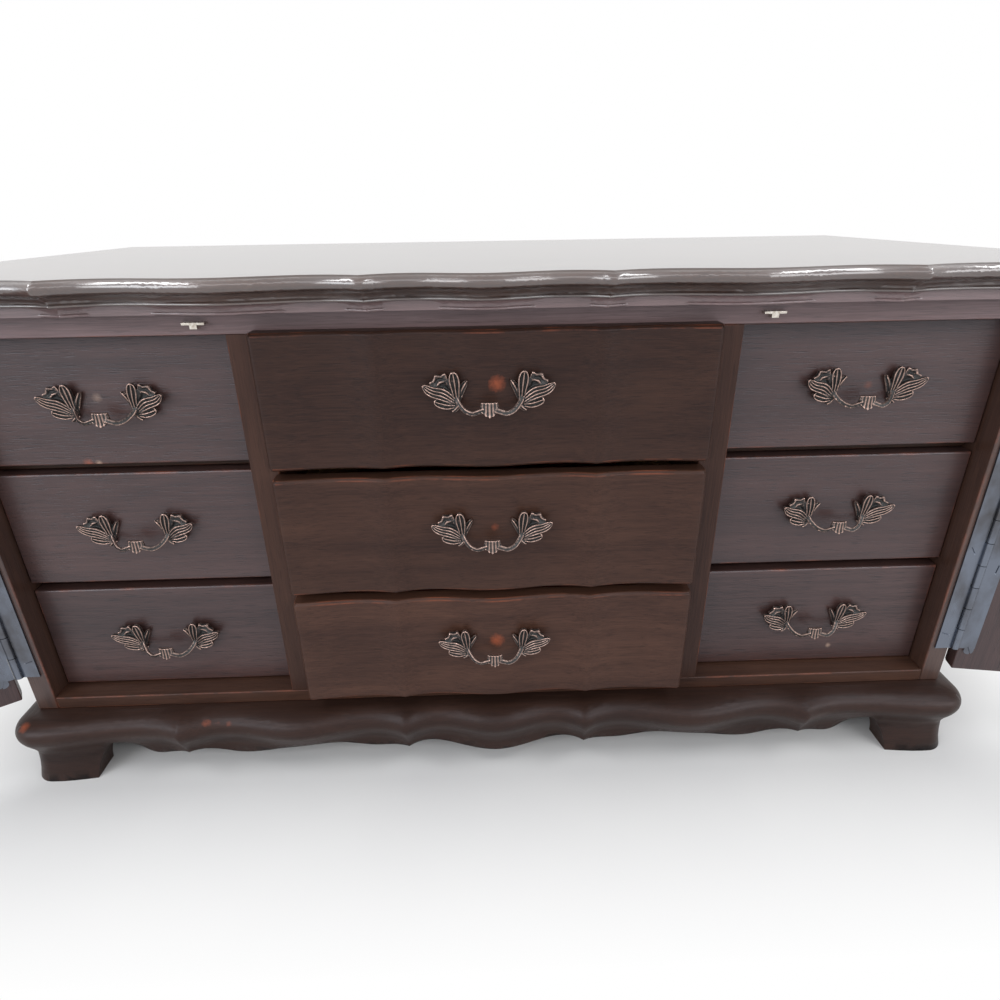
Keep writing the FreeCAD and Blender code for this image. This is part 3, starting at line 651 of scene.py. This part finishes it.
def stage():
    """A pale floor that keeps the chest's shadow and turns white further off."""
    bm = bmesh.new()
    bmesh.ops.create_grid(bm, x_segments=2, y_segments=2, size=6)
    s = Shader("pale_floor")
    weave = s.noise(s.place((9, 9, 9)), 3, 0.5)
    s.put(Base_Color=s.mix(s.remap(weave, 0.3, 0.7), colour(204, 204, 205), colour(212, 212, 212)))
    s.put(Roughness=0.9)
    off = s.node("ShaderNodeVectorMath", {0: s.own()}, operation="ABSOLUTE")
    off = s.node("ShaderNodeVectorMath", {0: off, 1: FOOTPRINT}, operation="SUBTRACT")
    off = s.node("ShaderNodeVectorMath", {0: off, 1: (0, 0, 0)}, operation="MAXIMUM")
    away = s.node("ShaderNodeVectorMath", {0: off}, output=1, operation="LENGTH")
    away = s.remap(away, FLOOR_FADE[0], FLOOR_FADE[1])
    rays = [s.node("ShaderNodeLightPath", output=name)
            for name in ("Is Camera Ray", "Is Glossy Ray", "Is Transmission Ray")]
    seen = s.math("MAXIMUM", s.math("MAXIMUM", rays[0], rays[1]), rays[2])
    white = s.node("ShaderNodeEmission", {0: (1, 1, 1, 1)})
    lit = s.surface.outputs[0]
    blend = s.node("ShaderNodeMixShader", {0: s.math("MULTIPLY", seen, away), 1: lit, 2: white})
    s.tree.links.new(blend, s.tree.nodes["Material Output"].inputs[0])
    floor = object_from("floor", bm, [s.material])


def backdrop():
    """White where the camera or a glossy surface looks, and plain soft light elsewhere."""
    world = bpy.data.worlds.new("studio")
    bpy.context.scene.world = world
    world.use_nodes = True
    tree = world.node_tree
    tree.nodes.clear()
    path = tree.nodes.new("ShaderNodeLightPath")
    seen = None
    for name in ("Is Camera Ray", "Is Glossy Ray", "Is Transmission Ray"):
        if seen is None:
            seen = path.outputs[name]
            continue
        either = tree.nodes.new("ShaderNodeMath")
        either.operation = "MAXIMUM"
        tree.links.new(seen, either.inputs[0])
        tree.links.new(path.outputs[name], either.inputs[1])
        seen = either.outputs[0]
    shades = []
    for tint, strength in (((0.95, 0.97, 1.0, 1), SOFT_LIGHT), ((1, 1, 1, 1), 1.0)):
        shade = tree.nodes.new("ShaderNodeBackground")
        shade.inputs[0].default_value = tint
        shade.inputs[1].default_value = strength
        shades.append(shade.outputs[0])
    blend = tree.nodes.new("ShaderNodeMixShader")
    tree.links.new(seen, blend.inputs[0])
    tree.links.new(shades[0], blend.inputs[1])
    tree.links.new(shades[1], blend.inputs[2])
    out = tree.nodes.new("ShaderNodeOutputWorld")
    tree.links.new(blend.outputs[0], out.inputs[0])


def softbox(name, place, target, size, power, tint=(1, 1, 1)):
    data = bpy.data.lights.new(name, "AREA")
    data.color = tint
    data.shape = "RECTANGLE"
    data.size, data.size_y = size
    data.energy = power
    lamp = bpy.data.objects.new(name, data)
    lamp.location = place
    lamp.rotation_mode = "QUATERNION"
    lamp.rotation_quaternion = (Vector(target) - Vector(place)).to_track_quat("-Z", "Y")
    bpy.context.scene.collection.objects.link(lamp)


def camera():
    """A plain wide lens close in front of the chest and a little above it."""
    data = bpy.data.cameras.new("camera")
    data.sensor_width = 36
    data.lens = CAMERA_PIXELS / 1000 * 36
    data.clip_start = 0.01
    made = bpy.data.objects.new("camera", data)
    x, y, z, yaw, pitch, roll = CAMERA
    ahead = Vector((-math.sin(yaw) * math.cos(pitch), math.cos(yaw) * math.cos(pitch),
                    -math.sin(pitch)))
    right = Vector((math.cos(yaw), math.sin(yaw), 0))
    up = right.cross(ahead)
    right = right * math.cos(roll) + up * math.sin(roll)
    up = right.cross(ahead)
    made.matrix_world = Matrix(((right.x, up.x, -ahead.x, x * MM), (right.y, up.y, -ahead.y, y * MM),
                                (right.z, up.z, -ahead.z, z * MM), (0, 0, 0, 1)))
    bpy.context.scene.collection.objects.link(made)
    bpy.context.scene.camera = made


# The camera's place in millimetres and its yaw, pitch and roll in radians
CAMERA = (-2.3, -334.7, 239.3, -0.0249, 0.4269, -0.0159)
CAMERA_PIXELS = 640
FOOTPRINT, FLOOR_FADE = (0.208, 0.112, 0), (0.005, 0.09)
SOFT_LIGHT = 0.36
stage()
backdrop()
for side, sign in zip(SIDES, (-1, 1)):
    softbox("strip_" + side, (0.72 * sign, -0.2, 1.1), (0.1 * sign, -0.1, 0.1), (0.85, 0.22), 6)
    softbox("front_" + side, (1.3 * sign, -0.85, 0.55), (1.3 * sign, -0.1, 0.2), (1.8, 0.5), 11)
softbox("above", (0, -0.85, 0.8), (0, -0.1, 0.2), (0.8, 0.3), 1)
softbox("window", (-0.85, -0.6, 0.45), (0, -0.1, 0.12), (0.7, 0.5), 1.5, (0.84, 0.92, 1.0))
camera()
bpy.context.scene.view_settings.view_transform = "Standard"
